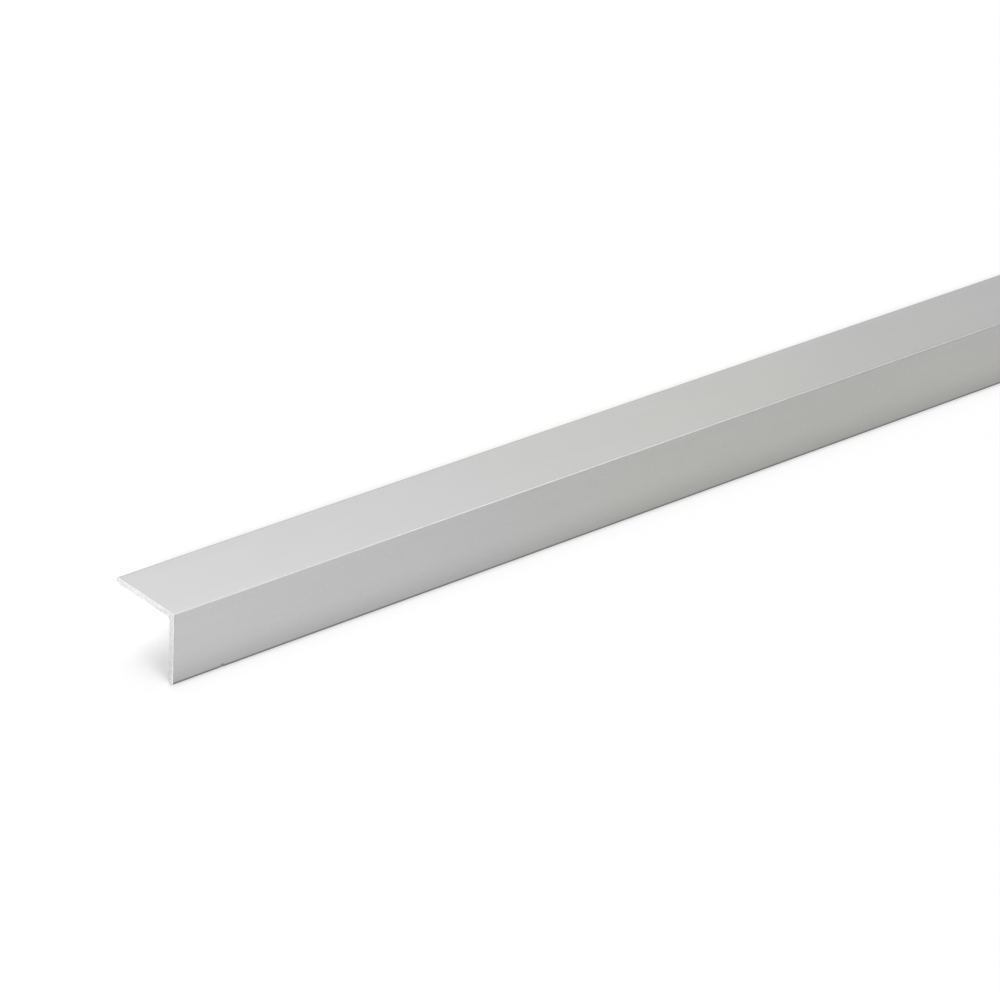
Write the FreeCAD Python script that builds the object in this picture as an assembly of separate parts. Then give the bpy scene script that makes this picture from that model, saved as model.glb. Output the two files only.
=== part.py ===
"""Stainless steel edge trim: one length of unequal-leg angle, cut square at both ends.

Millimetres. The long leg covers the top of a board or step and the short leg covers its front.
The trim is stored as it lies on a floor by itself, ridge up on the two free edges of its legs.
X runs along its length, the short leg faces -Y and the long leg faces +Y.
The origin is under its middle, on the floor.
"""

import FreeCAD, Part

import math
import os

# Driving dimensions
length = 1000.0  # the stock length
long_leg = 21.0  # from the outside corner to the free edge of the top leg
short_leg = 18.0  # from the outside corner to the free edge of the front leg
thickness = 1.5  # of both legs
ridge_radius = 0.3  # outside corner, where the legs meet
root_radius = 1.0  # inside corner
edge_radius = 0.5  # both corners of each free edge


def rounded_outline(corners):
    """Closed wire through (y, z, radius) corners, each rounded by an arc tangent to both its sides."""
    points = [FreeCAD.Vector(0, y, z) for y, z, _ in corners]
    arcs = []
    for i, (_, _, radius) in enumerate(corners):
        to_last = (points[i - 1] - points[i]).normalize()
        to_next = (points[(i + 1) % len(points)] - points[i]).normalize()
        half_angle = to_last.getAngle(to_next) / 2
        setback = radius / math.tan(half_angle)
        inset = radius / math.sin(half_angle) - radius
        start = points[i] + to_last * setback
        middle = points[i] + (to_last + to_next).normalize() * inset
        end = points[i] + to_next * setback
        arcs.append((start, middle, end))

    edges = []
    for i, (start, middle, end) in enumerate(arcs):
        last_end = arcs[i - 1][2]
        edges.append(Part.LineSegment(last_end, start).toShape())
        edges.append(Part.Arc(start, middle, end).toShape())
    return Part.Wire(edges)


def angle_section():
    """The section with its outside corner at the origin, the long leg along +Y and the short leg down."""
    return rounded_outline([
        (0, 0, ridge_radius),
        (long_leg, 0, edge_radius),
        (long_leg, -thickness, edge_radius),
        (thickness, -thickness, root_radius),
        (thickness, -short_leg, edge_radius),
        (0, -short_leg, edge_radius),
    ])


def edge_trim():
    """The whole trim, turned about its ridge until the inner corners of both free edges are level."""
    stock = Part.Face(angle_section()).extrude(FreeCAD.Vector(length, 0, 0))
    rest_angle = math.degrees(math.atan2(short_leg - thickness, long_leg - thickness))
    stock.rotate(FreeCAD.Vector(0, 0, 0), FreeCAD.Vector(1, 0, 0), -rest_angle)
    box = stock.optimalBoundingBox(False, False)
    stock.translate(FreeCAD.Vector(-box.Center.x, -box.Center.y, -box.ZMin))
    return stock


os.makedirs("parts", exist_ok=True)
edge_trim().exportStep("parts/edge_trim.step")
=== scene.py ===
import math

import bpy
import numpy as np
from mathutils import Matrix, Vector


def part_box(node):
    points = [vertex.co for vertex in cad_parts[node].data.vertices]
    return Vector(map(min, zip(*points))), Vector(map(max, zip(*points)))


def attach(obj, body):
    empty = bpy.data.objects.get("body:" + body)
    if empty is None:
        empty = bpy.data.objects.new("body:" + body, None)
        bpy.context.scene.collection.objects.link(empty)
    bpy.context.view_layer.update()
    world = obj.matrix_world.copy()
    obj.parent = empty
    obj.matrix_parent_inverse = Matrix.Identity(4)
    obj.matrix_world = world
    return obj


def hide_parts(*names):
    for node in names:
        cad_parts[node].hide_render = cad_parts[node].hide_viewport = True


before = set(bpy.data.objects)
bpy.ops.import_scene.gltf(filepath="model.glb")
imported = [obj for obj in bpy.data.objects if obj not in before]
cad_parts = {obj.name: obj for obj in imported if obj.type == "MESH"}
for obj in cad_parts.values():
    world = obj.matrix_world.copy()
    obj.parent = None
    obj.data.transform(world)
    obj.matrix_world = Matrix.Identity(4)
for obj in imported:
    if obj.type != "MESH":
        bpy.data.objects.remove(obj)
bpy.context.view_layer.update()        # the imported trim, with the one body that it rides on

mm = 0.001
trimLow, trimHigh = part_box("edge_trim")
trimLength = (trimHigh.x - trimLow.x) / mm


# What the trim is, in millimetres. The section's outside corner is its zero: the long leg runs
# from it along the first axis, and the short leg hangs from it down the second.
trim = {
    "longLeg": 21.0,
    "shortLeg": 18.0,
    "wall": 1.5,
    "ridgeRadius": 0.3,
    "rootRadius": 1.0,
    "edgeRadius": 0.5,        # both corners of each free edge
    "endBreak": 0.07,         # the arris filed round each sawn end
    "arcSteps": 8,
    "flatSteps": 10,
    "capSteps": 6,
    "fineStep": 0.16,         # spacing of the sections at each end
    "fineReach": 17.0,        # how far that spacing goes in
    "stepGrowth": 0.06,       # how much the spacing grows for each millimetre past that
    "coarseStep": 1.6,        # and where it stops growing
    "waveDepth": 0.01,        # how far the rolled flats wander inwards
    "waveLength": 38.0,
    "waveStart": 1.8,         # how far from each end they begin to wander
    "waveFull": 7.8,          # and where they wander fully
}

# What the saw and the rack left on it: each place is millimetres along a leg from the outside
# corner, and along the trim from its near end. Burrs stand into the corner space.
marks = {
    "burrs": [
        {"leg": "long", "at": 13.6, "width": 1.1, "height": 0.30},
        {"leg": "long", "at": 15.4, "width": 0.6, "height": 0.16},
        {"leg": "long", "at": 6.0, "width": 2.4, "height": 0.05},
        {"leg": "short", "at": 16.2, "width": 0.9, "height": 0.26},
        {"leg": "short", "at": 9.5, "width": 2.0, "height": 0.05},
    ],
    "burrReach": 0.22,        # how far along the trim a burr fades out
    "burrBand": 0.2,          # how near the inner flat a point has to be for a burr to move it
    "nickAlong": 13.7,
    "nickLength": 0.55,
    "nickDepth": 0.12,
    "nickSpread": 0.5,        # square millimetres over which it fades round the free edge
}


def flatRun(start, stop, steps):
    # start + (stop - start) * t, where t = (1 - cos(pi k / steps)) / 2 crowds points at both corners;
    # the outward normal is the run's direction turned a quarter turn clockwise
    t = (1 - np.cos(np.pi * np.arange(steps) / steps)) / 2
    run = np.subtract(stop, start)
    normal = np.array([run[1], -run[0]]) / np.hypot(*run)
    return np.asarray(start) + t[:, None] * run, np.repeat(normal[None], steps, axis=0)


def arcRun(centre, radius, fromDegrees, toDegrees, steps):
    # centre + radius * (cos a, sin a), where a goes evenly between the two angles
    a = np.radians(fromDegrees + (toDegrees - fromDegrees) * np.arange(steps) / steps)
    direction = np.stack([np.cos(a), np.sin(a)], axis=1)
    return np.asarray(centre) + radius * direction, direction


def outerRail(t):
    # the outline from the middle of the long leg's free edge, over the ridge, to the short leg's
    long, short, half = t["longLeg"], t["shortLeg"], t["wall"] / 2
    edge, ridge, flats, arcs = t["edgeRadius"], t["ridgeRadius"], t["flatSteps"], t["arcSteps"]
    return [
        flatRun((long, -half), (long, -edge), 2),
        arcRun((long - edge, -edge), edge, 0, 90, arcs),
        flatRun((long - edge, 0), (ridge, 0), flats),
        arcRun((ridge, -ridge), ridge, 90, 180, arcs),
        flatRun((0, -ridge), (0, edge - short), flats),
        arcRun((edge, edge - short), edge, 180, 270, arcs),
        flatRun((edge, -short), (half, -short), 2),
    ]


def innerRail(t):
    # the outline from the middle of the short leg's free edge, through the root, to the long leg's
    long, short, half, wall = t["longLeg"], t["shortLeg"], t["wall"] / 2, t["wall"]
    edge, root, flats, arcs = t["edgeRadius"], t["rootRadius"], t["flatSteps"], t["arcSteps"]
    bend = arcRun((wall + root, -wall - root), root, 180, 90, arcs)
    return [
        flatRun((half, -short), (wall - edge, -short), 2),
        arcRun((wall - edge, edge - short), edge, 270, 360, arcs),
        flatRun((wall, edge - short), (wall, -wall - root), flats),
        (bend[0], -bend[1]),
        flatRun((wall + root, -wall), (long - edge, -wall), flats),
        arcRun((long - edge, edge - wall), edge, 270, 360, arcs),
        flatRun((long, edge - wall), (long, -half), 2),
    ]


def stationsAlong(t, length):
    # distances from the near end: even and fine over the reach at each end, and between them a
    # spacing that grows with the distance from the nearer end up to the coarse step
    fine = np.arange(t["endBreak"], t["fineReach"], t["fineStep"])
    grow = [fine[-1]]
    while grow[-1] < length / 2:
        extra = (grow[-1] - t["fineReach"]) * t["stepGrowth"]
        grow.append(grow[-1] + min(t["coarseStep"], t["fineStep"] + max(extra, 0)))
    half = np.concatenate([fine, np.array(grow[1:-1])])
    return np.concatenate([half, [length / 2], length - half[::-1]])


def smoothNoise(x, seed, octaves=4):
    # a sum of sines with seeded phases, each octave 1.9 times as fine and half as strong, within -1 and 1
    rng = np.random.default_rng(seed)
    total = np.zeros_like(x)
    for octave in range(octaves):
        total += 0.5 ** octave * np.sin(x * 1.9 ** octave + rng.uniform(0, 2 * np.pi))
    return total / 2


def trimSurface(t, m, length):
    # ring of section points carried along the trim, pushed in by the waves and the nick and out by
    # the burrs; both ends roll over a small arris, and the caps are ruled from rail to rail
    outer, inner = outerRail(t), innerRail(t)
    ring = np.concatenate([run[0] for run in outer + inner])
    normal = np.concatenate([run[1] for run in outer + inner])
    count = len(ring)
    half = count // 2

    roll = np.radians([0, 30, 60])
    rollAlong = t["endBreak"] * (1 - np.cos(roll))
    rollInset = t["endBreak"] * (1 - np.sin(roll))
    middle = stationsAlong(t, length)
    along = np.concatenate([rollAlong, middle, length - rollAlong[::-1]])
    inset = np.concatenate([rollInset, np.zeros(len(middle)), rollInset[::-1]])

    x = along[:, None]
    fromEnd = np.minimum(x, length - x)
    walk = np.arange(count)[None] / count * 2 * np.pi
    wave = 0.5 + 0.5 * smoothNoise(x / t["waveLength"] * 2 * np.pi + 2 * np.sin(walk), 4)
    waved = np.clip((fromEnd - t["waveStart"]) / (t["waveFull"] - t["waveStart"]), 0, 1)
    push = -inset[:, None] - t["waveDepth"] * wave * waved

    corner = np.array([t["edgeRadius"], t["edgeRadius"] - t["shortLeg"]])
    nearCorner = np.exp(-np.sum((ring - corner) ** 2, axis=1) / m["nickSpread"])[None]
    outside = (ring[:, 0] < t["wall"] / 2)[None]
    nick = outside * nearCorner * np.exp(-((x - m["nickAlong"]) / m["nickLength"]) ** 2)
    push = push - m["nickDepth"] * nick

    near = m["burrBand"]
    backLong = (np.abs(ring[:, 1] + t["wall"]) < near) & (ring[:, 0] > t["wall"])
    backShort = (np.abs(ring[:, 0] - t["wall"]) < near) & (ring[:, 1] < -t["wall"])
    for number, burr in enumerate(m["burrs"]):
        place, back = (ring[:, 0], backLong) if burr["leg"] == "long" else (-ring[:, 1], backShort)
        ragged = 1 + 0.5 * smoothNoise(place * 5, 20 + number)
        hump = burr["height"] * ragged * np.exp(-((place - burr["at"]) / burr["width"]) ** 2)
        push = push + back[None] * hump[None] * np.exp(-(x / m["burrReach"]) ** 1.5)

    section = ring[None] + normal[None] * push[:, :, None]
    body = np.concatenate([np.repeat(x[:, :, None], count, axis=1), section], axis=2)

    across = np.linspace(0, 1, t["capSteps"] + 1)[1:-1]
    caps = []
    for end in (body[0], body[-1]):
        outside = end[:half + 1]
        inside = np.concatenate([end[:1], end[:half - 1:-1]])
        caps.append(outside[1:-1, None] + (inside - outside)[1:-1, None] * across[:, None])
    return body, caps


def trimFaces(stations, count, capSteps):
    # the quads between neighbouring rings, then each cap's quads and its two rows of end triangles
    i, j = np.meshgrid(np.arange(stations - 1), np.arange(count), indexing="ij")
    k = (j + 1) % count
    tube = np.stack([i * count + j, i * count + k, (i + 1) * count + k, (i + 1) * count + j], axis=-1)
    faces = tube.reshape(-1, 4).tolist()

    half = count // 2
    first = stations * count
    for base, flip in ((0, True), ((stations - 1) * count, False)):
        grid = np.empty((half + 1, capSteps + 1), int)
        grid[:, 0] = base + np.arange(half + 1)
        grid[:, -1] = base + (-np.arange(half + 1)) % count
        grid[0, :] = base
        grid[-1, :] = base + half
        grid[1:-1, 1:-1] = first + np.arange((half - 1) * (capSteps - 1)).reshape(half - 1, capSteps - 1)
        first += (half - 1) * (capSteps - 1)
        quads = np.stack([grid[:-1, :-1], grid[1:, :-1], grid[1:, 1:], grid[:-1, 1:]], axis=-1)
        quads = quads[..., ::-1] if flip else quads
        for quad in quads.reshape(-1, 4).tolist():
            faces.append(list(dict.fromkeys(quad)))
    return faces


# How the section stands: turned about the ridge until both free edges' inner corners are level,
# then moved until it fills the CAD piece's box.
restAngle = math.atan2(trim["shortLeg"] - trim["wall"], trim["longLeg"] - trim["wall"])
alongLong = np.array([math.cos(restAngle), -math.sin(restAngle)])
upFromShort = np.array([math.sin(restAngle), math.cos(restAngle)])


def sectionOrigin(t):
    # where the outside corner lands, in metres across and up, for the turned section to fit the box
    runs = outerRail(t) + innerRail(t)
    ring = np.concatenate([run[0] for run in runs])
    turned = ring[:, :1] * alongLong + ring[:, 1:] * upFromShort
    low, high = turned.min(axis=0) * mm, turned.max(axis=0) * mm
    return np.array([(trimLow.y + trimHigh.y) / 2 - (low[0] + high[0]) / 2, trimHigh.z - high[1]])


ridgePlace = sectionOrigin(trim)


def inTheFrame(points):
    # (along, across, up) in millimetres to the frame's metres, kept within the CAD piece's box
    turned = points[..., 1:2] * alongLong + points[..., 2:3] * upFromShort
    place = np.concatenate([trimLow.x + points[..., :1] * mm, turned * mm + ridgePlace], axis=-1)
    return np.clip(place, trimLow, trimHigh)


def makeTrim():
    # the mesh of the surface above, in the frame's metres, with its object at the origin
    body, caps = trimSurface(trim, marks, trimLength)
    stations, count = body.shape[:2]
    points = np.concatenate([body.reshape(-1, 3)] + [cap.reshape(-1, 3) for cap in caps])
    mesh = bpy.data.meshes.new("edgeTrimSteel")
    mesh.from_pydata(inTheFrame(points).tolist(), [], trimFaces(stations, count, trim["capSteps"]))
    mesh.polygons.foreach_set("use_smooth", np.ones(len(mesh.polygons), bool))
    mesh.update()
    piece = bpy.data.objects.new("edgeTrimSteel", mesh)
    bpy.context.scene.collection.objects.link(piece)
    return piece


trimPiece = makeTrim()
print("trim surface:", len(trimPiece.data.vertices), "points,", len(trimPiece.data.polygons), "faces")


# Shader maths: a Value is one socket, and an expression on it adds the nodes that work it out.
class Value:
    def __init__(self, tree, socket):
        self.tree, self.socket = tree, socket

    def maths(self, operation, *others):
        # operation(this value, others)
        return addNode(self.tree, "ShaderNodeMath", {"operation": operation},
                       dict(enumerate((self,) + others)))

    def __add__(self, other):
        return self.maths("ADD", other)

    def __radd__(self, other):
        return self.maths("ADD", other)

    def __sub__(self, other):
        return self.maths("SUBTRACT", other)

    def __rsub__(self, other):
        return (self * -1).maths("ADD", other)

    def __mul__(self, other):
        return self.maths("MULTIPLY", other)

    def __rmul__(self, other):
        return self.maths("MULTIPLY", other)

    def __truediv__(self, other):
        return self.maths("DIVIDE", other)

    def least(self, other):
        return self.maths("MINIMUM", other)

    def most(self, other):
        return self.maths("MAXIMUM", other)

    def ramp(self, low, high):
        # smoothly from 0 at low to 1 at high
        return addNode(self.tree, "ShaderNodeMapRange", {"interpolation_type": "SMOOTHSTEP"},
                       {"Value": self, "From Min": low, "From Max": high})

    def nearing(self, edge, span):
        # smoothly from 0 to 1 as the value comes within the span's first and second distance of an edge
        return self.ramp(edge - span[0], edge - span[1])

    def dot(self, direction):
        # how far the place lies along a direction
        return addNode(self.tree, "ShaderNodeVectorMath", {"operation": "DOT_PRODUCT"},
                       {0: self, 1: direction}, "Value")

    def stretched(self, x, y, z):
        # each part of the place times its own number
        return addNode(self.tree, "ShaderNodeVectorMath", {"operation": "MULTIPLY"},
                       {0: self, 1: (x, y, z)})

    def moved(self, x, y, z):
        # the place plus (x, y, z)
        return addNode(self.tree, "ShaderNodeVectorMath", {"operation": "ADD"},
                       {0: self, 1: (x, y, z)})

    def dimmed(self, tone):
        # the colour times a number that varies over the surface
        return addNode(self.tree, "ShaderNodeVectorMath", {"operation": "SCALE"},
                       {0: self, "Scale": tone})


def addNode(tree, kind, settings=None, values=None, out=0):
    # one node of a kind: its settings are set first, then each socket takes a value or a link
    node = tree.nodes.new(kind)
    for name, setting in (settings or {}).items():
        setattr(node, name, setting)
    for name, value in (values or {}).items():
        if isinstance(value, Value):
            tree.links.new(value.socket, node.inputs[name])
        else:
            node.inputs[name].default_value = value
    return Value(tree, node.outputs[out]) if node.outputs else node


def newMaterial(name):
    # an empty node tree under a new name
    material = bpy.data.materials.new(name)
    material.use_nodes = True
    material.node_tree.nodes.clear()
    return material, material.node_tree


def towards(tree, colour, other, factor):
    # colour * (1 - factor) + other * factor
    return addNode(tree, "ShaderNodeMix", {"data_type": "RGBA"},
                   {0: factor, 6: colour, 7: other}, 2)


def opaque(colour):
    # (red, green, blue, 1)
    return tuple(colour) + (1.0,)


# The finish. Distances are millimetres, and each grain is its length along the trim by its width.
satin = {
    "steel": (0.560, 0.560, 0.560),
    "backSteel": (0.50, 0.50, 0.50),
    # painted shade that dims the ridge's highlight
    "paintedRidgeShade": (0.44, 0.44, 0.438),
    "warmSteel": (0.556, 0.558, 0.530),
    # painted shade along the free edges and in the nick
    "paintedEdgeShade": (0.175, 0.175, 0.175),
    # the sawn ends painted paler, and a painted highlight on their filed arris
    "sawnPaintedPale": (0.73, 0.73, 0.728),
    "paintedArrisHighlight": (0.82, 0.82, 0.818),
    "roughness": 0.34,
    "backRoughness": 0.44,
    "sawnRoughness": 0.50,
    "fineGrain": (4.0, 0.20),
    "streak": (14.0, 0.55),
    "cloud": (60.0, 9.0),
    "fleck": (1.5, 0.42),
    "tint": (150.0, 24.0),
    "dash": (2.6, 2.6),       # breaks up the ridge's bright line and the rims of the ends
    "saw": (0.4, 0.10),
    "mottle": (0.9, 0.9),     # blotches on the sawn ends
    "fineTone": 0.03,         # how much each grain lightens and darkens the steel
    "streakTone": 0.05,
    "cloudTone": 0.05,
    "fleckTone": 0.09,
    "sawTone": 0.16,
    "rimTone": 0.10,          # a faint dark line just inside each end
    "grainHeight": 0.0016,
    "streakHeight": 0.0022,
    "sawHeight": 0.006,
    "warmOver": (80.0, 170.0),      # the warm tint comes in over this stretch of the trim
    "ridgeReach": 0.26,             # how far from the outside corner the ridge's painted shade goes; it dims the ridge's highlight
    "ridgeShare": 0.30,             # how much of that painted shade there is at the near end
    "ridgeLess": 0.20,
    "ridgeLessOver": (40.0, 90.0),
    "ridgeMore": 0.50,
    "ridgeMoreOver": (120.0, 200.0),
    "ridgeBreak": 0.9,              # how much the dashes break it up
    "frontShade": 0.22,             # painted shade: the short leg darkens from here down to near its free edge
    "frontShadeFrom": 9.0,
    "frontShadeTo": 17.3,
    "paintedTopShade": 0.08,                # painted shade: the long leg grows darker over the first stretch
    "topShadeFrom": (150.0, 290.0),
    "topShadeUntil": (500.0, 700.0),    # and recovers over the second
    "frontEdgeShadeLine": (0.85, 0.5),       # the painted shade lines at the free edges, each from nothing at its first distance off the edge to its full tone at the second
    "topEdgeShadeLine": (0.42, 0.2),         # distance off the edge to its full tone at the second
    "topEdgeShadeLineTone": 0.25,
    "farEdgeShadeLine": (0.85, 0.6),
    "farEdgeShadeLineTone": 0.15,
    "nickShadeLine": (1.15, 0.9),
    "nickShadeTone": 0.8,
    "fleckOnTop": 0.35,             # how strongly the flecks show on the long leg
    "streakRough": 0.10,
    "fineRough": 0.06,
}


def grain(place, size, detail, start):
    # noise stretched into grains: 0 to 1, with a mean near one half
    length, width = size
    spot = place.stretched(1 / length, 1 / width, 1 / width).moved(start, 0.37 * start, 0.61 * start)
    return addNode(place.tree, "ShaderNodeTexNoise", {},
                   {"Vector": spot, "Scale": 1.0, "Detail": detail, "Roughness": 0.55})


def satinSteel(f, t):
    # the steel's colour times one tone that holds painted shade on both legs, then mixed by masks towards
    # the back, the ridge's painted shade, the painted shade lines at the free edges and in the nick, and the
    # sawn ends, which are painted paler with a painted highlight on their arris; the masks are ramps of the
    # distance along each leg and the trim
    material, tree = newMaterial("satinSteel")
    spot = addNode(tree, "ShaderNodeTexCoord", out="Object")
    place = spot.moved(-trimLow.x, -ridgePlace[0], -ridgePlace[1]).stretched(1 / mm, 1 / mm, 1 / mm)
    alongTrim = place.dot((1, 0, 0))
    alongTop = place.dot((0, alongLong[0], alongLong[1]))
    downFront = place.dot((0, -upFromShort[0], -upFromShort[1]))

    fine = grain(place, f["fineGrain"], 2, 3.1)
    streak = grain(place, f["streak"], 3, 11.7)
    cloud = grain(place, f["cloud"], 2, 23.9)
    darkFleck = grain(place, f["fleck"], 1, 5.3).ramp(0.66, 0.80)
    paleFleck = grain(place, f["fleck"], 1, 17.9).ramp(0.66, 0.80)
    tint = grain(place, f["tint"], 2, 41.0).ramp(0.25, 0.60)
    dash = grain(place, f["dash"], 2, 61.0)
    saw = grain(place, f["saw"], 2, 8.2)
    mottle = grain(place, f["mottle"], 2, 71.0).ramp(0.3, 0.7)

    ridge = 1 - alongTop.most(downFront).ramp(f["ridgeReach"] - 0.1, f["ridgeReach"] + 0.1)
    frontEdgeShadeLine = downFront.nearing(t["shortLeg"], f["frontEdgeShadeLine"])
    topEdgeShadeLine = alongTop.nearing(t["longLeg"], f["topEdgeShadeLine"])
    farEdgeShadeLine = alongTop.nearing(t["longLeg"], f["farEdgeShadeLine"])
    # painted shade in the nick's dent
    fromNick = alongTrim - marks["nickAlong"]
    fromNick = fromNick * fromNick / marks["nickLength"] ** 2
    nick = f["nickShadeTone"] * (1 - fromNick.ramp(0.2, 1.0)) * downFront.nearing(t["shortLeg"], f["nickShadeLine"])
    back = alongTop.least(downFront).ramp(t["wall"] - 0.3, t["wall"] - 0.05)
    outside = 1 - back
    depth = alongTop.least(downFront)
    toEnd = alongTrim.least(trimLength - alongTrim)
    arris = 1 - toEnd.ramp(t["endBreak"] * 0.9, t["endBreak"] * 1.3)
    sawn = 1 - toEnd.ramp(0.005, 0.02)

    onFront = downFront.ramp(0.3, 0.8)
    # painted shade on the short leg, darker towards its free edge
    drop = (downFront - f["frontShadeFrom"]) / (f["frontShadeTo"] - f["frontShadeFrom"])
    drop = drop.most(0).least(1)
    shade = 1 - f["frontShade"] * drop * drop * outside
    flecks = (paleFleck - darkFleck) * (f["fleckOnTop"] + (1 - f["fleckOnTop"]) * onFront)
    rim = toEnd.ramp(0.08, 0.14) * (1 - toEnd.ramp(0.25, 0.5)) * dash.ramp(0.35, 0.6)
    # painted shade on the long leg over one stretch of the trim
    topShadeMask = alongTrim.ramp(*f["topShadeFrom"]) * (1 - alongTrim.ramp(*f["topShadeUntil"])) * (1 - onFront)
    tone = shade * (1 - f["rimTone"] * rim) * (1 - f["paintedTopShade"] * topShadeMask)
    grains = f["fineTone"] * (fine - 0.5) + f["streakTone"] * (streak - 0.5) + f["cloudTone"] * (cloud - 0.5)
    tone = tone * (1 + grains + f["fleckTone"] * flecks)
    warm = tint * alongTrim.ramp(*f["warmOver"])
    colour = towards(tree, opaque(f["steel"]), opaque(f["warmSteel"]), warm)
    colour = towards(tree, colour, opaque(f["backSteel"]), back).dimmed(tone)
    # painted shade over the ridge's highlight: less over one stretch of the trim, more over the next, broken
    # up by dashes
    share = f["ridgeShare"] - f["ridgeLess"] * alongTrim.ramp(*f["ridgeLessOver"])
    share = share + f["ridgeMore"] * alongTrim.ramp(*f["ridgeMoreOver"]) + f["ridgeBreak"] * (dash - 0.5)
    colour = towards(tree, colour, opaque(f["paintedRidgeShade"]), ridge * share.most(0).least(1))
    # painted shade along the short leg's free edge and in the nick
    colour = towards(tree, colour, opaque(f["paintedEdgeShade"]), frontEdgeShadeLine.most(nick) * outside)
    # painted shade along the long leg's free edge
    topShadeLines = (f["farEdgeShadeLineTone"] * farEdgeShadeLine + f["topEdgeShadeLineTone"] * topEdgeShadeLine) * outside
    colour = towards(tree, colour, opaque(f["paintedEdgeShade"]), topShadeLines)
    # a painted highlight on the filed arris at each end and the sawn end painted paler; the saw marks and
    # mottle below are the end's own
    colour = towards(tree, colour, opaque(f["paintedArrisHighlight"]), arris)
    sawnPaintedLight = towards(tree, opaque(f["paintedArrisHighlight"]), opaque(f["sawnPaintedPale"]), depth.ramp(0.12, 0.40))
    colour = towards(tree, colour, sawnPaintedLight, sawn)
    colour = colour.dimmed(1 - f["sawTone"] * sawn * (saw + mottle - 0.6))

    rough = f["roughness"] + (f["backRoughness"] - f["roughness"]) * back
    rough = rough + (f["sawnRoughness"] - f["roughness"]) * arris
    rough = rough + f["streakRough"] * (streak - 0.5) + f["fineRough"] * (fine - 0.5)
    height = (1 - arris) * (f["grainHeight"] * fine + f["streakHeight"] * streak)
    height = height + f["sawHeight"] * sawn * saw
    relief = addNode(tree, "ShaderNodeBump", {}, {"Strength": 1.0, "Distance": mm, "Height": height})
    surface = addNode(tree, "ShaderNodeBsdfPrincipled", {}, {
        "Base Color": colour, "Metallic": 1.0, "Roughness": rough, "Normal": relief})
    addNode(tree, "ShaderNodeOutputMaterial", {}, {"Surface": surface})
    return material


trimPiece.data.materials.append(satinSteel(satin, trim))
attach(trimPiece, "root")
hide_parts("edge_trim")
print("finish: satin steel")


# The room: a white floor and white walls. The floor still holds the trim's shadow.
room = {
    "floorSize": 12.0,
    "floorColour": (1.0, 1.0, 1.0),
    "floorGlow": 0.35,        # how much of the shown floor is plain white near the trim
    "fadeFrom": 1.0,          # from here to there the floor turns wholly plain white, in metres
    "fadeTo": 2.5,
    "wallShown": 1.0,         # what the camera sees beyond the floor
    "wallMirrored": 0.62,     # what the steel sees there
    "wallLight": 0.49,        # what lights the rest
}


def whiteFloor():
    # matt * (1 - white) + plain white * white: white is floorGlow to the steel, floorGlow growing to 1
    # far away to the camera, and 0 to all other light
    material, tree = newMaterial("whiteFloor")
    shownToCamera = addNode(tree, "ShaderNodeLightPath", out="Is Camera Ray")
    shownToSteel = addNode(tree, "ShaderNodeLightPath", out="Is Glossy Ray")
    matt = addNode(tree, "ShaderNodeBsdfDiffuse", {}, {"Color": opaque(room["floorColour"])})
    glow = addNode(tree, "ShaderNodeEmission", {}, {"Color": (1, 1, 1, 1), "Strength": 1.0})
    spot = addNode(tree, "ShaderNodeTexCoord", out="Object")
    away = addNode(tree, "ShaderNodeVectorMath", {"operation": "LENGTH"}, {0: spot}, "Value")
    white = room["floorGlow"] + (1 - room["floorGlow"]) * away.ramp(room["fadeFrom"], room["fadeTo"])
    white = (shownToCamera * white).most(shownToSteel * room["floorGlow"])
    surface = addNode(tree, "ShaderNodeMixShader", {}, {0: white, 1: matt, 2: glow})
    addNode(tree, "ShaderNodeOutputMaterial", {}, {"Surface": surface})
    return material


def makeFloor():
    # one level square under the trim's lowest point
    half = room["floorSize"] / 2
    corners = [(-half, -half, 0), (half, -half, 0), (half, half, 0), (-half, half, 0)]
    mesh = bpy.data.meshes.new("floor")
    mesh.from_pydata(corners, [], [(0, 1, 2, 3)])
    mesh.materials.append(whiteFloor())
    floor = bpy.data.objects.new("floor", mesh)
    floor.location.z = trimLow.z
    bpy.context.scene.collection.objects.link(floor)


def makeWalls():
    # light + (shown - light) * camera + (mirrored - light) * mirror, so that each sees its own level
    walls = bpy.data.worlds.new("studio")
    walls.use_nodes = True
    tree = walls.node_tree
    tree.nodes.clear()
    camera = addNode(tree, "ShaderNodeLightPath", out="Is Camera Ray")
    mirror = addNode(tree, "ShaderNodeLightPath", out="Is Glossy Ray")
    light = room["wallLight"]
    strength = light + (room["wallShown"] - light) * camera + (room["wallMirrored"] - light) * mirror
    surface = addNode(tree, "ShaderNodeBackground", {}, {"Color": (1, 1, 1, 1), "Strength": strength})
    addNode(tree, "ShaderNodeOutputWorld", {}, {"Surface": surface})
    bpy.context.scene.world = walls


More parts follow.
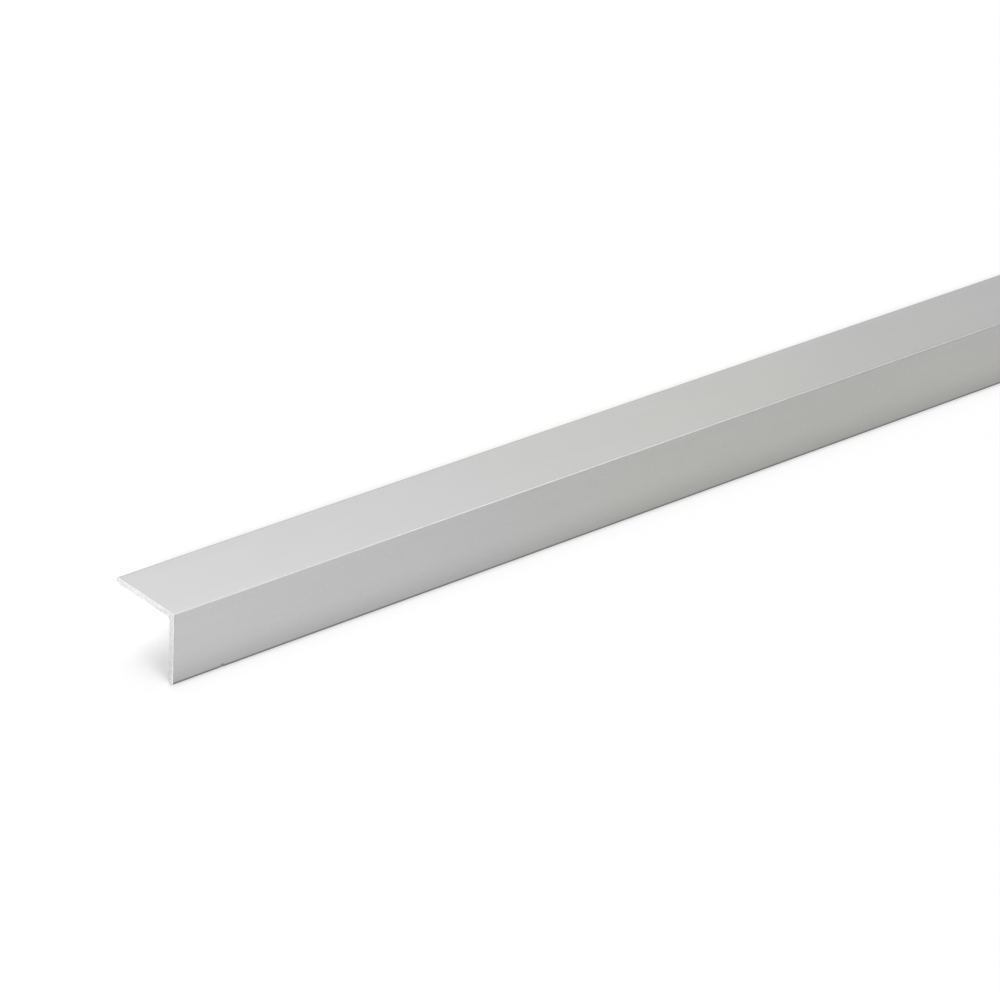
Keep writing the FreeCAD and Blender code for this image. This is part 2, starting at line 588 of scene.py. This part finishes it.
# The lamps. Each aims at a place on the ridge, counted from the near end, and stands off in a
# direction: its turn goes from the trim's far end towards the long leg's side, and its rise is
# from level. Distances and sizes are metres.
lamps = [
    {"name": "backNear", "aim": 0.0, "turn": 68, "rise": 12, "distance": 0.6, "size": 0.3, "watts": 0.22},
    {"name": "backMiddle", "aim": 0.1, "turn": 60, "rise": 12, "distance": 0.8, "size": 0.4, "watts": 0.17},
    {"name": "frontNear", "aim": 0.0, "turn": -64, "rise": 14, "distance": 0.7, "size": 0.35, "watts": 0.14},
    {"name": "endLow", "aim": 0.1, "turn": 180, "rise": 16, "distance": 3.0, "size": 0.9, "watts": 58.0},
    {"name": "frontHigh", "aim": 0.2, "turn": -42, "rise": 54, "distance": 3.0, "size": 2.8, "watts": 23.0},
    {"name": "backHigh", "aim": 0.2, "turn": 40, "rise": 55, "distance": 3.0, "size": 2.6, "watts": 15.0},
    {"name": "overhead", "aim": 0.2, "turn": 0, "rise": 88, "distance": 3.0, "size": 2.4, "watts": 5.0},
]

# A narrow lamp that shines in under the near end. Its target is metres in from that end and across,
# on the floor, and its cone is degrees.
mouthLamp = {"in": 0.003, "across": 0.0045, "turn": 185, "rise": 50, "distance": 0.6, "radius": 0.004,
             "cone": 2.2, "watts": 13.0}


def onRidge(along):
    # the place on the outside corner that lies this many metres from the near end
    return Vector((trimLow.x + along, ridgePlace[0], ridgePlace[1]))


def facing(place, target):
    # a turn that points an object's own -Z from place to target, with its X level
    return (target - place).to_track_quat("-Z", "Y").to_matrix().to_4x4()


def standLamp(data, lamp, target):
    # the lamp's distance out from the target, along (cos turn cos rise, sin turn cos rise, sin rise)
    turn, rise = math.radians(lamp["turn"]), math.radians(lamp["rise"])
    away = Vector((math.cos(turn) * math.cos(rise), math.sin(turn) * math.cos(rise), math.sin(rise)))
    place = target + away * lamp["distance"]
    data.energy = lamp["watts"]
    light = bpy.data.objects.new(data.name, data)
    light.matrix_world = Matrix.Translation(place) @ facing(place, target)
    light.visible_camera = False
    bpy.context.scene.collection.objects.link(light)


def makeLamp(lamp):
    # a round soft lamp, aimed at the ridge
    data = bpy.data.lights.new(lamp["name"], "AREA")
    data.shape = "DISK"
    data.size = lamp["size"]
    standLamp(data, lamp, onRidge(lamp["aim"]))


def makeMouthLamp(lamp):
    # a small spot with a soft rim, aimed at the floor
    data = bpy.data.lights.new("mouthLamp", "SPOT")
    data.spot_size = math.radians(lamp["cone"])
    data.spot_blend = 1.0
    data.shadow_soft_size = lamp["radius"]
    standLamp(data, lamp, Vector((trimLow.x + lamp["in"], lamp["across"], trimLow.z)))


makeFloor()
makeWalls()
for lamp in lamps:
    makeLamp(lamp)
makeMouthLamp(mouthLamp)
print("room and lamps:", len(lamps) + 1)


# The view: a long lens looking along the trim from its near end. The camera is rolled against the
# floor so that it sees the long leg lying level and the short leg hanging upright.
view = {
    "lens": 154.64,
    "aim": (93.66, -0.11, -0.03),    # millimetres from the near end's outside corner
    "distance": 0.99280,
    "heading": 71.060,               # degrees from across the trim towards its far end
    "dip": 51.178,
    "roll": 46.804,
}


def makeCamera(v):
    # ahead = (sin heading cos dip, cos heading cos dip, -sin dip); right and up are the level and
    # upright directions across it, turned by the roll; the camera stands off behind its target
    heading, dip, roll = (math.radians(v[name]) for name in ("heading", "dip", "roll"))
    ahead = Vector((math.sin(heading) * math.cos(dip), math.cos(heading) * math.cos(dip), -math.sin(dip)))
    level = ahead.cross(Vector((0, 0, 1))).normalized()
    upright = level.cross(ahead)
    right = level * math.cos(roll) + upright * math.sin(roll)
    up = right.cross(ahead)
    target = onRidge(0) + Vector(v["aim"]) * mm
    data = bpy.data.cameras.new("camera")
    data.lens = v["lens"]
    data.clip_start = 0.01
    camera = bpy.data.objects.new("camera", data)
    turned = Matrix((right, up, -ahead)).transposed().to_4x4()
    camera.matrix_world = Matrix.Translation(target - ahead * v["distance"]) @ turned
    bpy.context.scene.collection.objects.link(camera)
    bpy.context.scene.camera = camera


makeCamera(view)
bpy.context.scene.view_settings.view_transform = "Standard"
